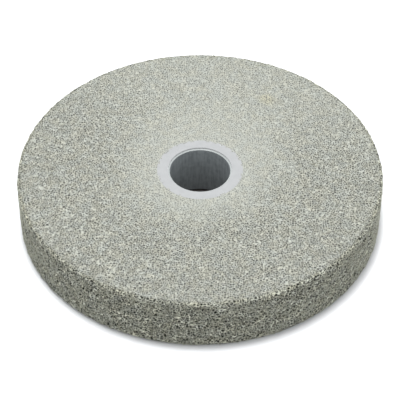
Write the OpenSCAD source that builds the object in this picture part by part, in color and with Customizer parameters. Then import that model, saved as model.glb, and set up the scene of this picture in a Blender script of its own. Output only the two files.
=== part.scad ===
// Polishing wheel: a wound non-woven fibre web, bonded by a cast sleeve to a tube that takes the arbor.
// The wheel lies flat on z = 0 with its axis along +Z. All sizes are in millimetres.

/* [Wheel] */
// Outside diameter of the wheel
wheel_d = 152.4; // [100:0.1:300]
// Width of the wheel from face to face
wheel_w = 24.2; // [12:0.1:60]
// Radius of the worn edge between each face and the rim
edge_r = 1.2; // [0.4:0.1:3]

/* [Core sleeve] */
// Outside diameter of the cast sleeve
sleeve_d = 35.9; // [32:0.1:60]
// Diameter of the opening in the lip that covers each end of the tube
lip_d = 26.7; // [26:0.1:28]
// Thickness of that lip
lip_t = 0.5; // [0.4:0.1:2]
// Width of the broken edge round the opening
lip_break = 0.2; // [0.1:0.05:0.3]

/* [Arbor tube] */
// Bore of the tube, for a 1 inch arbor
bore_d = 25.4; // [24:0.1:25.6]
// Outside diameter of the tube
tube_d = 28.6; // [28.2:0.1:31]
// Depth of the shallow countersink at each end of the bore
countersink_h = 0.3; // [0.2:0.1:1.5]

/* [Hidden] */
$fn = 128;
wheel_r = wheel_d / 2;
sleeve_r = sleeve_d / 2;
lip_r = lip_d / 2;
bore_r = bore_d / 2;
tube_r = tube_d / 2;
tube_bottom = lip_t;
tube_top = wheel_w - lip_t;

// The wound web: a thick ring whose two outer edges are rounded.
module wound_fibre_web() {
    color("lightgray")
        rotate_extrude()
            union() {
                translate([sleeve_r, 0])
                    square([wheel_r - edge_r - sleeve_r, wheel_w]);
                translate([sleeve_r, edge_r])
                    square([wheel_r - sleeve_r, wheel_w - 2 * edge_r]);
                for (z = [edge_r, wheel_w - edge_r])
                    translate([wheel_r - edge_r, z])
                        circle(r = edge_r, $fn = 48);
            }
}

// The cast sleeve: it fills the space between tube and web, and laps over both ends of the tube.
module cast_core_sleeve() {
    color("gainsboro")
        rotate_extrude()
            polygon([
                [tube_r, tube_bottom],
                [lip_r, tube_bottom],
                [lip_r, lip_break],
                [lip_r + lip_break, 0],
                [sleeve_r, 0],
                [sleeve_r, wheel_w],
                [lip_r + lip_break, wheel_w],
                [lip_r, wheel_w - lip_break],
                [lip_r, tube_top],
                [tube_r, tube_top]
            ]);
}

// The tube: a plain bore with a shallow countersink at each end that opens to the size of the lip.
module arbor_tube() {
    color("dimgray")
        rotate_extrude()
            polygon([
                [lip_r, tube_bottom],
                [tube_r, tube_bottom],
                [tube_r, tube_top],
                [lip_r, tube_top],
                [bore_r, tube_top - countersink_h],
                [bore_r, tube_bottom + countersink_h]
            ]);
}

wound_fibre_web();
cast_core_sleeve();
arbor_tube();
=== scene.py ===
"""A fibre polishing wheel lying on a pale floor: the looks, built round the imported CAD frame.

The wound web is three closed relief solids (upper half, lower half and rim) with loose curly fibres.
The cast core sleeve and the arbor tube are the CAD nodes themselves, with procedural materials.
Mesh functions work in millimetres, and meshes are scaled to metres as they are made.
"""

import itertools
import math

import bpy
import numpy as np
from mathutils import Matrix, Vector


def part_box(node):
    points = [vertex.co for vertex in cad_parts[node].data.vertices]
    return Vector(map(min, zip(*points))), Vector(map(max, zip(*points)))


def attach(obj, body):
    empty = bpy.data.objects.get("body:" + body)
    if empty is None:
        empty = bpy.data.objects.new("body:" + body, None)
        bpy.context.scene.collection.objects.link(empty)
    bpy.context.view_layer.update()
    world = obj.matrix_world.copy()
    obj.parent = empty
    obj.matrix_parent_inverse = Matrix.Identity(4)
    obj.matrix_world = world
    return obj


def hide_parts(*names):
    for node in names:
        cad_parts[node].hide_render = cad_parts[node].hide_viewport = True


MM = 0.001
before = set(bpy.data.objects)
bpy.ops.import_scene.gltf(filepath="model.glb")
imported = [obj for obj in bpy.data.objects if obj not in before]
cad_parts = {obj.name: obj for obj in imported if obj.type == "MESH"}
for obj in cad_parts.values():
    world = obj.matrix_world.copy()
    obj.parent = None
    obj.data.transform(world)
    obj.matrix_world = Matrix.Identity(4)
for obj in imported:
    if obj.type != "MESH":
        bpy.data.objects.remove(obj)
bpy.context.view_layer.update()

# Driving sizes, read from the frame, in millimetres.
WEB_LOW, WEB_HIGH = (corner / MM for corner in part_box("wound_fibre_web"))
WHEEL_R = WEB_HIGH.x
WHEEL_W = WEB_HIGH.z - WEB_LOW.z
MIDDLE_Z = WEB_LOW.z + WHEEL_W / 2
SLEEVE_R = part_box("cast_core_sleeve")[1].x / MM
TUBE_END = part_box("arbor_tube")[1].z / MM - MIDDLE_Z  # the tube's end, from the middle

# The web's relief, in millimetres.
EDGE_R = 1.2  # rounding between face and rim
SKIN_STEP = 0.5  # spacing of the relief's points along the face
RIM_STEP = 0.32  # and down the rim
SKIN_AROUND = 1024  # points round the wheel on its outer half
EDGE_TURN = 22.5  # degrees between the points of a rounded edge
TURN_PITCH = 2.3  # thickness of one wound turn of web
SOAK = 0.6  # how far the fibres lap over the cast sleeve
OPENS_FROM = -8  # from the sleeve's wall to where the web starts to open up
OPENS_TO = 34  # and to where it is fully open
TIGHT_PAINTED_LIGHT_SIDE = 78  # the side where the web is least open and is painted paler as light, in degrees from +X
TIGHTEST_PAINTED_LIGHT = 0.64  # the share by which it is less open, and painted paler as light, there
LOWER_GAP = 0.02  # least height of the lower face's relief above the floor
STAIN = (29, 45)  # the middle of a faint resin stain on the upper face

# The loose fibres, in millimetres.
CURL_POINTS = 7  # points along each fibre
CURL_SIDES = 3  # sides of its tube
TIP_SHARE = 0.45  # thickness of its two tips, as a share of the rest
ROOT = 0.12  # how far its tips dip below the surface
RIM_FIBRE_GAP = 0.15  # least height of a rim fibre above the floor
FACE_FIBRE_GAP = 0.1  # and of a fibre on the lower face
RIM_FIBRES = 1300  # in each of the rim's two pieces
UPPER_FIBRES = 5000
LOWER_FIBRES = 3000

# The web's colours. Each pair is for its greyish and its yellowish patches.
FACE_GROUND = (0.181, 0.190, 0.178, 1), (0.190, 0.192, 0.162, 1)
FACE_STRAND = (0.469, 0.489, 0.438, 1), (0.482, 0.484, 0.411, 1)
RIM_GROUND = (0.062, 0.065, 0.048, 1), (0.068, 0.067, 0.042, 1)
RIM_STRAND = (0.65, 0.668, 0.575, 1), (0.67, 0.668, 0.53, 1)
HUB_GROUND = (0.245, 0.254, 0.236, 1)
OUTER_GROUND = (0.160, 0.166, 0.147, 1)
STAINED_STRAND = (0.49, 0.465, 0.322, 1)
# Painted shade: the near-black colours painted into the pores and gaps, for the shade inside them.
FACE_PIT_PAINTED_SHADE = (0.060, 0.061, 0.055, 1)
RIM_PIT_PAINTED_SHADE = (0.008, 0.0085, 0.006, 1)

# The stage.
SKY = 0.75  # strength of the pale sky
FLOOR_SIZE = 12  # metres


# ---------------------------------------------------------------- noise

def lattice_values(cells, seed):
    """A repeatable value from -1 to 1 for each whole-number cell."""
    mask = 0xFFFFFFFF
    mixed = cells[:, 0] * 73856093 + cells[:, 1] * 19349663 + cells[:, 2] * 83492791
    mixed = (mixed + seed * 40503) & mask
    for factor in (1274126177, 668265263):
        mixed = ((mixed ^ (mixed >> 15)) * factor) & mask
    return ((mixed >> 8) & 0xFFFF) / 32767.5 - 1


def noise(points, cell, seed):
    """Smooth noise, about -1 to 1, at each point, with blobs of about one cell."""
    q = points / cell
    base = np.floor(q).astype(np.int64)
    part = q - base
    part = part * part * (3 - 2 * part)
    total = np.zeros(len(points))
    for corner in itertools.product((0, 1), repeat=3):
        share = np.prod(np.where(corner, part, 1 - part), axis=1)
        total += share * lattice_values(base + np.array(corner), seed)
    return total * 1.4


def smooth_step(x, low, high):
    """0 at low, 1 at high and a smooth rise between."""
    t = np.clip((x - low) / (high - low), 0, 1)
    return t * t * (3 - 2 * t)


# ---------------------------------------------------------------- meshes

def make_piece(name, points, faces, material):
    """A smooth mesh object from points in millimetres."""
    mesh = bpy.data.meshes.new(name)
    mesh.from_pydata((points * MM).tolist(), [], faces)
    mesh.polygons.foreach_set("use_smooth", [True] * len(mesh.polygons))
    mesh.materials.append(material)
    mesh.update()
    piece = bpy.data.objects.new(name, mesh)
    bpy.context.scene.collection.objects.link(piece)
    return piece


def set_attribute(piece, name, values):
    """A number for each point of the mesh, which the material reads by name."""
    layer = piece.data.attributes.new(name, "FLOAT", "POINT")
    layer.data.foreach_set("value", np.asarray(values, np.float32))


def ring_faces(start_a, count_a, start_b, count_b):
    """The faces between two rings of points, one of which may have twice as many points as the other."""
    if count_a < count_b:
        return [face[::-1] for face in ring_faces(start_b, count_b, start_a, count_a)]
    k = np.arange(count_b)
    after = (k + 1) % count_b
    if count_a == count_b:
        columns = [start_a + k, start_a + after, start_b + after, start_b + k]
    else:
        a = start_a + 2 * k
        columns = [a, a + 1, start_a + 2 * after, start_b + after, start_b + k]
    return np.stack(columns, 1).tolist()


def closed_ring(rows):
    """Points and faces of a ring-shaped solid, from rows of (radius, height, points round).

    The rows go once round its section, and the last joins the first.
    """
    points, faces, starts = [], [], []
    for radius, height, count in rows:
        angle = np.arange(count) * (2 * math.pi / count)
        starts.append(sum(len(ring) for ring in points))
        across, along = radius * np.cos(angle), radius * np.sin(angle)
        points.append(np.column_stack([across, along, np.full(count, height)]))
    for k, (_, _, count) in enumerate(rows):
        after = (k + 1) % len(rows)
        faces += ring_faces(starts[k], count, starts[after], rows[after][2])
    return np.concatenate(points), faces


def stations(low, high, step):
    """Evenly spaced values from low to high, about one step apart."""
    return np.linspace(low, high, max(2, round(abs(high - low) / step) + 1))


# ---------------------------------------------------------------- the web's relief

def rim_share(points):
    """0 on the faces and 1 on the rim, rising round the rounded edge, for points not yet pushed in."""
    radius = np.hypot(points[:, 0], points[:, 1])
    return smooth_step(radius, WHEEL_R - 1.5 * EDGE_R, WHEEL_R - 0.45 * EDGE_R)


def coarseness(points):
    """About 0 beside the sleeve, where resin fills the fibres, and up to 1 where the web is open.

    It is lower on the tight side, and the paler tone that this gives there is painted light.
    """
    radius = np.hypot(points[:, 0], points[:, 1])
    angle = np.arctan2(points[:, 1], points[:, 0])
    # painted light: on this side the web is made tighter and paler, standing in for the brighter light on
    # that side of the face
    side = 1 - TIGHTEST_PAINTED_LIGHT * np.maximum(np.cos(angle - math.radians(TIGHT_PAINTED_LIGHT_SIDE)), 0)
    return smooth_step(radius, SLEEVE_R + OPENS_FROM, SLEEVE_R + OPENS_TO) * side


def edge_share(points):
    """1 on the two rounded edges, which are worn smooth, and 0 a little way off."""
    radius = np.hypot(points[:, 0], points[:, 1])
    high = np.abs(points[:, 2] - MIDDLE_Z)
    near_face = smooth_step(high, WHEEL_W / 2 - 2 * EDGE_R, WHEEL_W / 2 - EDGE_R)
    return near_face * smooth_step(radius, WHEEL_R - 1.5 * EDGE_R, WHEEL_R - EDGE_R)


def relief(points):
    """(how far the surface lies below its true place, how deep in a pore from 0 to 1) at each point."""
    radius = np.hypot(points[:, 0], points[:, 1])
    angle = np.arctan2(points[:, 1], points[:, 0])
    rim = rim_share(points)
    turn = (radius - SLEEVE_R) / TURN_PITCH - angle / (2 * math.pi)
    turn = turn + 0.25 * noise(points, 9, 1)
    wound = (0.5 - 0.5 * np.cos(2 * math.pi * turn)) * (1 - rim)
    lumps = 0.5 * noise(points, 2.2, 2) + noise(points, 1.2, 3)
    grain = noise(points, 0.8, 4)
    pore = smooth_step(0.6 * noise(points, 1.0, 5) + 0.6 * grain, 0.1, 0.8)
    depth = 0.02 * wound + (0.02 + 0.03 * rim) * (1.5 + lumps)
    depth = depth + (0.02 + 0.03 * rim) * (1 + grain) + (0.12 + 0.44 * rim) * pore
    depth = np.maximum(depth, 0) * (1 - 0.7 * edge_share(points))
    return depth * (0.2 + 0.8 * coarseness(points)), pore


def half_rows(face_z):
    """The rows of one half of the web, out along its face and back inside, and how many of them show."""
    radii = stations(SLEEVE_R - SOAK, WHEEL_R - EDGE_R, SKIN_STEP)
    counts = [SKIN_AROUND if radius > WHEEL_R / 2 else SKIN_AROUND // 2 for radius in radii]
    rows = [(radius, face_z, count) for radius, count in zip(radii, counts)]
    inside = [(radii[-1], MIDDLE_Z, counts[-1]), (radii[0], MIDDLE_Z, counts[0])]
    return rows + inside, len(rows)


def set_web_attributes(piece, points, pore):
    """What the web's material reads: pores, where the rim is and how open the web is."""
    set_attribute(piece, "pore", pore)
    set_attribute(piece, "rim", rim_share(points))
    set_attribute(piece, "coarse", coarseness(points))


def web_half(name, face_z, up, material):
    """One half of the web, with its face at face_z. up is 1 for the upper face and -1 for the lower."""
    rows, shown = half_rows(face_z)
    points, faces = closed_ring(rows)
    seen = np.concatenate([np.full(row[2], k < shown) for k, row in enumerate(rows)])
    depth, pore = relief(points)
    radius = np.hypot(points[:, 0], points[:, 1])
    lap = 1 - smooth_step(radius, SLEEVE_R - SOAK, SLEEVE_R)
    depth = depth + lap * (0.05 + 0.16 * noise(points, 0.9, 11))
    if up < 0:
        depth = np.maximum(depth, LOWER_GAP)
    pushed = points.copy()
    pushed[:, 2] -= up * np.where(seen, depth, 0)
    if up > 0:
        faces = [face[::-1] for face in faces]
    piece = make_piece(name, pushed, faces, material)
    set_web_attributes(piece, points, pore * seen)
    return piece


def rim_profile():
    """(radius, height) down the rim, from the edge of the upper face to the edge of the lower face."""
    turns = np.radians(stations(0, 90, EDGE_TURN))
    out = WHEEL_R - EDGE_R * (1 - np.sin(turns))
    down = EDGE_R * (1 - np.cos(turns))
    upper = list(zip(out, WEB_HIGH.z - down))
    lower = list(zip(out, WEB_LOW.z + down))[::-1]
    straight = stations(WEB_HIGH.z - EDGE_R, WEB_LOW.z + EDGE_R, RIM_STEP)[1:-1]
    return upper + [(WHEEL_R, height) for height in straight] + lower


def outward(points):
    """The direction out of the web at each point of the rim and its rounded edges."""
    radius = np.hypot(points[:, 0], points[:, 1])
    out_r = radius - (WHEEL_R - EDGE_R)
    out_z = points[:, 2] - np.clip(points[:, 2], WEB_LOW.z + EDGE_R, WEB_HIGH.z - EDGE_R)
    size = np.maximum(np.hypot(out_r, out_z), 1e-6)
    flat = points[:, :2] * (out_r / size / radius)[:, None]
    return np.column_stack([flat, out_z / size])


def web_rim(name, material):
    """The rim with its two rounded edges, as a ring that meets both halves."""
    points, faces = closed_ring([(*place, SKIN_AROUND) for place in rim_profile()])
    depth, pore = relief(points)
    pushed = points - outward(points) * depth[:, None]
    piece = make_piece(name, pushed, [face[::-1] for face in faces], material)
    set_web_attributes(piece, points, pore)
    return piece


# ---------------------------------------------------------------- loose fibres

def curl_paths(rng, count, length, bend):
    """Curly lines on a flat sheet, each from 0, 0: an array (count, CURL_POINTS, 2)."""
    step = rng.uniform(*length, count) / (CURL_POINTS - 1)
    turn = rng.choice((-1, 1), count) * step / rng.uniform(*bend, count)
    heading = rng.uniform(0, 2 * math.pi, count)[:, None] + turn[:, None] * np.arange(CURL_POINTS)
    heading = heading + np.cumsum(rng.normal(0, 0.12, (count, CURL_POINTS)), axis=1)
    moves = np.stack([np.cos(heading), np.sin(heading)], -1) * step[:, None, None]
    return np.cumsum(moves, axis=1) - moves[:, :1]


def on_face(places, lift, up):
    """Sheet places and lifts to points and outward directions on the upper or the lower face."""
    face_z = WEB_HIGH.z if up > 0 else WEB_LOW.z
    points = np.concatenate([places, (face_z + up * lift)[..., None]], -1)
    return points, np.broadcast_to([0.0, 0.0, float(up)], points.shape)


def round_rim(places, lift):
    """Sheet places (round the rim, up it) and lifts to points and outward directions, over both edges."""
    angle = places[..., 0] / WHEEL_R
    side = np.sign(places[..., 1])
    past = np.abs(places[..., 1]) - (WHEEL_W / 2 - EDGE_R)
    bend = np.clip(past / EDGE_R, 0, math.pi / 2)
    inset = np.maximum(past - EDGE_R * math.pi / 2, 0)
    out_r, out_z = np.cos(bend), side * np.sin(bend)
    radius = WHEEL_R - EDGE_R - inset + (EDGE_R + lift) * out_r
    flat_z = side * np.minimum(np.abs(places[..., 1]), WHEEL_W / 2 - EDGE_R)
    height = MIDDLE_Z + flat_z + (EDGE_R + lift) * out_z
    points = np.stack([radius * np.cos(angle), radius * np.sin(angle), height], -1)
    normals = np.stack([out_r * np.cos(angle), out_r * np.sin(angle), out_z], -1)
    return points, normals


def unit(vectors):
    """The same directions, each with a length of 1."""
    return vectors / np.maximum(np.linalg.norm(vectors, axis=-1, keepdims=True), 1e-9)


def tubes(name, centres, normals, radii, tones, material):
    """A mesh of thin closed tubes along the paths in centres, (count, CURL_POINTS, 3)."""
    count = len(centres)
    along = unit(np.gradient(centres, axis=1))
    across = unit(np.cross(along, normals))
    above = np.cross(across, along)
    taper = np.ones(CURL_POINTS)
    taper[[0, -1]] = TIP_SHARE
    thick = (radii[:, None] * taper)[..., None, None]
    angle = np.arange(CURL_SIDES) * (2 * math.pi / CURL_SIDES)
    spoke = np.cos(angle)[:, None] * above[:, :, None] + np.sin(angle)[:, None] * across[:, :, None]
    points = (centres[:, :, None] + thick * spoke).reshape(-1, 3)
    per_tube = CURL_POINTS * CURL_SIDES
    side = np.arange(CURL_SIDES)
    after = (side + 1) % CURL_SIDES
    rings = np.arange(CURL_POINTS - 1)[:, None] * CURL_SIDES
    ahead = rings + CURL_SIDES
    wall = np.stack([rings + side, rings + after, ahead + after, ahead + side], -1).reshape(-1, 4)
    starts = np.arange(count)[:, None, None] * per_tube
    faces = (wall + starts).reshape(-1, 4).tolist()
    ends = np.stack([side[::-1], per_tube - CURL_SIDES + side])
    faces += (ends + starts).reshape(-1, CURL_SIDES).tolist()
    piece = make_piece(name, points, faces, material)
    set_attribute(piece, "tone", np.repeat(tones, per_tube))
    return piece


def lifts(rng, count, high):
    """How far each fibre stands off the surface along its length: both ends dip below it."""
    top = rng.uniform(*high, count)
    bow = np.sin(np.linspace(0, math.pi, CURL_POINTS))
    return -ROOT + (top[:, None] + ROOT) * bow


def rim_fibres(name, seed, count, material):
    """Curly fibres all round the rim, which also wrap over its two edges."""
    rng = np.random.default_rng(seed)
    around = rng.uniform(0, 2 * math.pi * WHEEL_R, count)
    height = rng.uniform(-0.52, 0.52, count) * WHEEL_W
    start = np.stack([around, height], -1)
    places = start[:, None] + curl_paths(rng, count, (3, 7), (0.8, 3.0))
    centres, normals = round_rim(places, lifts(rng, count, (0.02, 0.16)))
    centres[..., 2] = np.maximum(centres[..., 2], WEB_LOW.z + RIM_FIBRE_GAP)
    radii = rng.uniform(0.06, 0.14, count)
    tones = rng.uniform(0, 1, count)
    return tubes(name, centres, normals, radii, tones, material)


def face_fibres(name, seed, count, up, material):
    """Short cut fibres spread evenly over one face, and coarser towards the outside."""
    rng = np.random.default_rng(seed)
    share = rng.uniform(0, 1, count)
    inner, outer = SLEEVE_R + 1.5, WHEEL_R - EDGE_R
    radius = np.sqrt(inner**2 + share * (outer**2 - inner**2))
    angle = rng.uniform(0, 2 * math.pi, count)
    start = np.stack([radius * np.cos(angle), radius * np.sin(angle)], -1)
    places = start[:, None] + curl_paths(rng, count, (0.7, 2.0), (0.35, 1.1))
    keep = np.hypot(places[..., 0], places[..., 1]).max(1) < outer
    places, share = places[keep], share[keep]
    count = len(places)
    coarse = 0.4 + 0.6 * share
    centres, normals = on_face(places, lifts(rng, count, (-0.02, 0.06)) * coarse[:, None], up)
    if up < 0:
        centres[..., 2] = np.maximum(centres[..., 2], WEB_LOW.z + FACE_FIBRE_GAP)
    radii = rng.uniform(0.05, 0.10, count) * coarse
    tones = rng.uniform(0, 1, count)
    return tubes(name, centres, normals, radii, tones, material)


# ---------------------------------------------------------------- materials

class Graph:
    """A material's node tree with short calls: each adds a node and gives back its main output."""

    def __init__(self, name):
        self.material = bpy.data.materials.new(name)
        self.material.use_nodes = True
        self.tree = self.material.node_tree
        self.shader = self.tree.nodes["Principled BSDF"]

    def put(self, socket, value):
        """Link an output to the socket, or set it to a plain value."""
        if isinstance(value, bpy.types.NodeSocket):
            self.tree.links.new(value, socket)
        else:
            socket.default_value = value

    def node(self, kind, **settings):
        """A new node of this kind, with these settings."""
        made = self.tree.nodes.new(kind)
        for key, value in settings.items():
            setattr(made, key, value)
        return made

    def math(self, operation, a, b=0.0):
        """One operation on a and b, each an output or a number."""
        made = self.node("ShaderNodeMath", operation=operation)
        self.put(made.inputs[0], a)
        self.put(made.inputs[1], b)
        return made.outputs[0]

    def place(self):
        """The point on the object, in millimetres."""
        scaled = self.node("ShaderNodeVectorMath", operation="SCALE")
        self.put(scaled.inputs[0], self.node("ShaderNodeTexCoord").outputs["Object"])
        scaled.inputs["Scale"].default_value = 1 / MM
        return scaled.outputs["Vector"]

    def bent(self, place, cell, amount):
        """place pushed about by noise, so that what reads it curls."""
        wander = self.node("ShaderNodeTexNoise")
        self.put(wander.inputs["Vector"], place)
        wander.inputs["Scale"].default_value = 1 / cell
        wander.inputs["Detail"].default_value = 1.0
        centred = self.node("ShaderNodeVectorMath", operation="SUBTRACT")
        self.put(centred.inputs[0], wander.outputs["Color"])
        centred.inputs[1].default_value = (0.5, 0.5, 0.5)
        pushed = self.node("ShaderNodeVectorMath", operation="MULTIPLY_ADD")
        self.put(pushed.inputs[0], centred.outputs["Vector"])
        pushed.inputs[1].default_value = (2 * amount,) * 3
        self.put(pushed.inputs[2], place)
        return pushed.outputs["Vector"]

    def noise(self, place, cell, detail=2.0, rough=0.5):
        """Cloudy noise from 0 to 1, with blobs of about one cell."""
        made = self.node("ShaderNodeTexNoise")
        self.put(made.inputs["Vector"], place)
        made.inputs["Scale"].default_value = 1 / cell
        made.inputs["Detail"].default_value = detail
        made.inputs["Roughness"].default_value = rough
        return made.outputs["Fac"]

    def strands(self, place, cell, width):
        """Thin curly lines, 1 on a line and 0 off it: where noise crosses its middle value."""
        off = self.math("ABSOLUTE", self.math("SUBTRACT", self.noise(place, cell, 1.0), 0.5))
        return self.spread(off, width, 0.0)

    def walls(self, place, cell):
        """How far place is from the nearest wall between uneven cells, where 1 is a whole cell."""
        made = self.node("ShaderNodeTexVoronoi", feature="DISTANCE_TO_EDGE")
        self.put(made.inputs["Vector"], place)
        made.inputs["Scale"].default_value = 1 / cell
        return made.outputs["Distance"]

    def spread(self, value, low, high, to_low=0.0, to_high=1.0):
        """value from low to high becomes to_low to to_high, smoothly."""
        made = self.node("ShaderNodeMapRange", interpolation_type="SMOOTHSTEP")
        for socket, number in zip(made.inputs, (value, low, high, to_low, to_high)):
            self.put(socket, number)
        return made.outputs["Result"]

    def between(self, share, a, b):
        """a where share is 0 and b where it is 1. The node's second input is only for vectors."""
        made = self.node("ShaderNodeMix", data_type="FLOAT")
        for socket, value in zip(made.inputs, (share, None, a, b)):
            if value is not None:
                self.put(socket, value)
        return made.outputs[0]

    def attribute(self, name):
        """The number that set_attribute gave each point."""
        return self.node("ShaderNodeAttribute", attribute_name=name).outputs["Fac"]

    def mix(self, share, a, b):
        """Colour a where share is 0 and b where it is 1. Inputs 6 and 7 are the node's two colours."""
        made = self.node("ShaderNodeMix", data_type="RGBA")
        self.put(made.inputs[0], share)
        self.put(made.inputs[6], a)
        self.put(made.inputs[7], b)
        return made.outputs[2]

    def bump(self, height, distance, strength=1.0):
        """Relief finer than the mesh. distance is in millimetres."""
        made = self.node("ShaderNodeBump")
        made.inputs["Strength"].default_value = strength
        made.inputs["Distance"].default_value = distance * MM
        self.put(made.inputs["Height"], height)
        self.put(self.shader.inputs["Normal"], made.outputs["Normal"])

    def radius(self, place):
        """Distance from the wheel's axis, in millimetres."""
        flat = self.node("ShaderNodeVectorMath", operation="MULTIPLY")
        self.put(flat.inputs[0], place)
        flat.inputs[1].default_value = (1, 1, 0)
        long = self.node("ShaderNodeVectorMath", operation="LENGTH")
        self.put(long.inputs[0], flat.outputs["Vector"])
        return long.outputs["Value"]

    def distance(self, place, centre):
        """Distance from the fixed point centre, in millimetres."""
        made = self.node("ShaderNodeVectorMath", operation="DISTANCE")
        self.put(made.inputs[0], place)
        made.inputs[1].default_value = centre
        return made.outputs["Value"]

    def from_middle(self, place):
        """Height above or below the wheel's middle plane, in millimetres."""
        split = self.node("ShaderNodeSeparateXYZ")
        self.put(split.inputs[0], place)
        return self.math("ABSOLUTE", self.math("SUBTRACT", split.outputs["Z"], MIDDLE_Z))


def weave(g, place, cell, thick, closed):
    """(strands, gaps): a net of curly strands round uneven cells, and the gaps in some cells, which are
    painted dark as shade.
    """
    curly = g.bent(place, 1.2 * cell, 0.3 * cell)
    wall = g.walls(curly, cell)
    strands = g.math("MAXIMUM", g.spread(wall, thick, 0.03), g.strands(curly, 0.7 * cell, 0.07))
    hollow = g.spread(wall, 0.6 * thick, 1.5 * thick)
    some = g.spread(g.noise(place, 0.8 * cell, 1.0), closed, closed - 0.2)
    gaps = g.math("MULTIPLY", hollow, some)
    return strands, g.math("MULTIPLY", gaps, g.spread(strands, 0.0, 1.0, 1.0, 0.3))


def web_ground(g, place, patches, coarse, rim):
    """What shows between the strands: palest by the hub, darker outwards and darkest on the rim."""
    ground = g.mix(patches, *FACE_GROUND)
    outer = g.spread(g.radius(place), 0.6 * WHEEL_R, WHEEL_R)
    ground = g.mix(g.math("MULTIPLY", outer, 0.5), ground, OUTER_GROUND)
    ground = g.mix(rim, ground, g.mix(patches, *RIM_GROUND))
    return g.mix(coarse, HUB_GROUND, ground)


def web_strand(g, place, patches, rim):
    """The strands' colour, with the faint stain on the upper face."""
    strand = g.mix(patches, *FACE_STRAND)
    stain = g.spread(g.distance(g.bent(place, 3, 1.5), (*STAIN, WEB_HIGH.z)), 5.0, 2.0)
    strand = g.mix(g.math("MULTIPLY", stain, 0.7), strand, STAINED_STRAND)
    return g.mix(rim, strand, g.mix(patches, *RIM_STRAND))


def web_material():
    """Resin-bonded fibres: pale strands over gaps painted dark as shade, fainter near the hub and coarsest
    on the rim.
    """
    g = Graph("fibre_web")
    place = g.place()
    coarse, rim = g.attribute("coarse"), g.attribute("rim")
    face_strands, face_gaps = weave(g, place, 0.95, 0.20, 0.63)
    rim_strands, rim_gaps = weave(g, place, 1.2, 0.11, 0.78)
    strands = g.between(rim, face_strands, rim_strands)
    gaps = g.between(rim, face_gaps, rim_gaps)
    pore = g.math("MULTIPLY", g.attribute("pore"), g.between(rim, 0.2, 0.4))
    pit_shade_and_depth = g.math("MAXIMUM", gaps, pore)
    # coarse is lower on the tight side, so the paler, smoother tone there is painted light
    deep = g.between(rim, g.spread(coarse, 0.0, 1.0, 0.22, 0.97), 1.0)
    patches = g.spread(g.noise(place, 5, 3.0, 0.7), 0.35, 0.65)
    ground = web_ground(g, place, patches, coarse, rim)
    strand = web_strand(g, place, patches, rim)
    paleness = g.between(rim, g.between(coarse, 0.7, 0.9), 0.95)
    with_strands = g.mix(g.math("MULTIPLY", strands, paleness), ground, strand)
    # painted shade: pores and gaps are darkened towards near black, for the shade inside them
    painted_pit_shade = g.mix(rim, FACE_PIT_PAINTED_SHADE, RIM_PIT_PAINTED_SHADE)
    colour = g.mix(g.math("MULTIPLY", pit_shade_and_depth, deep), with_strands, painted_pit_shade)
    g.put(g.shader.inputs["Base Color"], colour)
    g.put(g.shader.inputs["Roughness"], g.spread(strands, 0.0, 1.0, 0.95, 0.75))
    g.shader.inputs["Specular IOR Level"].default_value = 0.25
    height = g.math("SUBTRACT", g.math("MULTIPLY", strands, 0.5), pit_shade_and_depth)
    g.bump(g.math("MULTIPLY", height, deep), 0.35)
    return g.material


def fibre_material():
    """The loose fibres: each has its own tone, from greyish to pale straw."""
    g = Graph("loose_fibre")
    place = g.place()
    tone = g.attribute("tone")
    colour = g.mix(tone, (0.39, 0.40, 0.34, 1), (0.52, 0.522, 0.42, 1))
    speckle = g.spread(g.noise(place, 0.5, 2.0), 0.35, 0.65)
    colour = g.mix(g.math("MULTIPLY", speckle, 0.4), colour, (0.30, 0.31, 0.26, 1))
    g.put(g.shader.inputs["Base Color"], colour)
    g.put(g.shader.inputs["Roughness"], g.spread(speckle, 0.0, 1.0, 0.55, 0.8))
    g.shader.inputs["Specular IOR Level"].default_value = 0.35
    g.bump(speckle, 0.02)
    return g.material


def resin_material():
    """The cast sleeve: smooth, faintly mottled and a pale bluish grey."""
    g = Graph("cast_resin")
    place = g.place()
    cloud = g.spread(g.noise(place, 2.5, 3.0), 0.3, 0.7)
    grain = g.noise(place, 0.25, 2.0)
    colour = g.mix(cloud, (0.355, 0.364, 0.369, 1), (0.369, 0.377, 0.381, 1))
    # painted shade: the pinholes are darkened for the shade inside them
    shaded_pinholes = g.spread(g.noise(place, 0.45, 1.0), 0.30, 0.22)
    colour = g.mix(g.math("MULTIPLY", shaded_pinholes, 0.5), colour, (0.27, 0.28, 0.29, 1))
    g.put(g.shader.inputs["Base Color"], colour)
    g.put(g.shader.inputs["Roughness"], g.spread(cloud, 0.0, 1.0, 0.42, 0.55))
    g.bump(g.math("SUBTRACT", grain, shaded_pinholes), 0.02, 0.6)
    return g.material


def tube_material():
    """The arbor tube: grey, with fine lines along the bore and paler ends."""
    g = Graph("arbor_tube")
    place = g.place()
    stretched = g.node("ShaderNodeVectorMath", operation="MULTIPLY")
    g.put(stretched.inputs[0], place)
    stretched.inputs[1].default_value = (1, 1, 0.12)
    lines = g.noise(stretched.outputs["Vector"], 0.8, 3.0, 0.6)
    mottle = g.spread(g.noise(place, 2.2, 3.0), 0.3, 0.7)
    colour = g.mix(mottle, (0.25, 0.277, 0.288, 1), (0.335, 0.365, 0.375, 1))
    colour = g.mix(g.spread(lines, 0.4, 0.65, 0.0, 0.5), colour, (0.44, 0.475, 0.485, 1))
    end = g.spread(g.from_middle(place), TUBE_END - 0.4, TUBE_END - 0.2)
    colour = g.mix(end, colour, (0.36, 0.385, 0.38, 1))
    g.put(g.shader.inputs["Base Color"], colour)
    g.put(g.shader.inputs["Roughness"], g.spread(lines, 0.3, 0.7, 0.45, 0.65))
    g.bump(lines, 0.03, 0.7)
    return g.material


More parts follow.
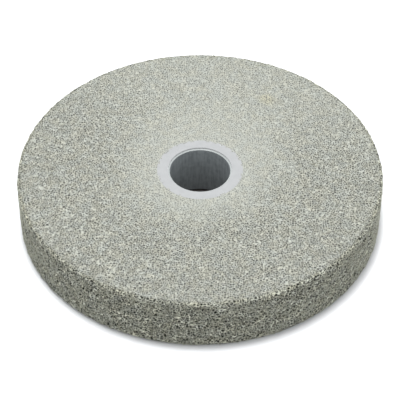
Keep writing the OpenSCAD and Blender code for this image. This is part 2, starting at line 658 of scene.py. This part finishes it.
def floor_material():
    """A plain white floor, with a dark spot of painted shade under the bore so that no pale floor shows
    through it.
    """
    g = Graph("floor")
    place = g.place()
    cloud = g.noise(place, 60, 2.0)
    white = g.mix(cloud, (0.83, 0.84, 0.86, 1), (0.85, 0.86, 0.88, 1))
    outside_painted_bore_shade = g.spread(g.radius(place), SLEEVE_R, WHEEL_R / 2)
    # painted shade: the dark colour under the bore stands in for the deep shade inside the bore
    g.put(g.shader.inputs["Base Color"], g.mix(outside_painted_bore_shade, (0.10, 0.09, 0.085, 1), white))
    g.shader.inputs["Roughness"].default_value = 0.9
    return g.material


# ---------------------------------------------------------------- the object

def build_web():
    """The wound web's pieces, which stand for the CAD node."""
    web, fibre = web_material(), fibre_material()
    solids = [
        web_half("web_upper_half", WEB_HIGH.z, 1, web),
        web_half("web_lower_half", WEB_LOW.z, -1, web),
        web_rim("web_rim", web),
    ]
    loose = [
        rim_fibres("rim_fibres_a", 31, RIM_FIBRES, fibre),
        rim_fibres("rim_fibres_b", 32, RIM_FIBRES, fibre),
        face_fibres("upper_face_fibres", 33, UPPER_FIBRES, 1, fibre),
        face_fibres("lower_face_fibres", 34, LOWER_FIBRES, -1, fibre),
    ]
    for piece in solids + loose:
        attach(piece, "root")
    for piece in solids:
        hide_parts("wound_fibre_web")


def dress_core():
    """Materials for the two CAD nodes that show as they are."""
    for name, material in (("cast_core_sleeve", resin_material()), ("arbor_tube", tube_material())):
        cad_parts[name].data.materials.clear()
        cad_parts[name].data.materials.append(material)


# ---------------------------------------------------------------- the stage

def soft_light(name, place, size, power):
    """A square soft light that faces the wheel: place and size in metres, power in watts."""
    data = bpy.data.lights.new(name, "AREA")
    data.size = size
    data.energy = power
    lamp = bpy.data.objects.new(name, data)
    lamp.location = place
    lamp.rotation_euler = (-Vector(place)).to_track_quat("-Z", "Y").to_euler()
    bpy.context.scene.collection.objects.link(lamp)


def build_sky():
    """A pale sky that ends at the horizon."""
    world = bpy.data.worlds.new("world")
    world.use_nodes = True
    tree = world.node_tree
    tree.nodes["Background"].inputs["Color"].default_value = (0.98, 0.99, 1, 1)
    up = tree.nodes.new("ShaderNodeSeparateXYZ")
    tree.links.new(tree.nodes.new("ShaderNodeTexCoord").outputs["Generated"], up.inputs[0])
    dome = tree.nodes.new("ShaderNodeMapRange")
    tree.links.new(up.outputs["Z"], dome.inputs["Value"])
    dome.inputs["From Min"].default_value = -0.05
    dome.inputs["From Max"].default_value = 0.0
    dome.inputs["To Max"].default_value = SKY
    tree.links.new(dome.outputs["Result"], tree.nodes["Background"].inputs["Strength"])
    bpy.context.scene.world = world


def build_stage():
    """A white floor, a high soft key light, a low light behind each side and a pale sky."""
    bpy.ops.mesh.primitive_plane_add(size=FLOOR_SIZE)
    floor = bpy.context.object
    floor.name = "floor"
    floor.data.materials.append(floor_material())
    soft_light("key", (-0.09, 0.136, 2.5), 0.4, 52)
    soft_light("left", (-0.65, 0.93, 0.15), 0.4, 5.6)
    soft_light("right", (0.84, 0.82, 0.16), 0.4, 5.6)
    build_sky()
    bpy.context.scene.view_settings.view_transform = "Standard"


def place_camera():
    """A long lens, 43 degrees above the floor, aimed at the wheel's axis a quarter of the way up it."""
    elevation = math.radians(43.08)
    distance = 0.6732  # from the middle of the upper face
    face = Vector((0, 0, WEB_HIGH.z * MM))
    aim_share = 0.26  # how far up the wheel the camera aims
    aim = Vector((0, 0, aim_share * WEB_HIGH.z * MM))
    data = bpy.data.cameras.new("camera")
    data.sensor_width = 36
    data.lens = 145.0
    camera = bpy.data.objects.new("camera", data)
    camera.location = face + distance * Vector((0, -math.cos(elevation), math.sin(elevation)))
    camera.rotation_euler = (aim - camera.location).to_track_quat("-Z", "Y").to_euler()
    bpy.context.scene.collection.objects.link(camera)
    bpy.context.scene.camera = camera


place_camera()
build_stage()
build_web()
dress_core()
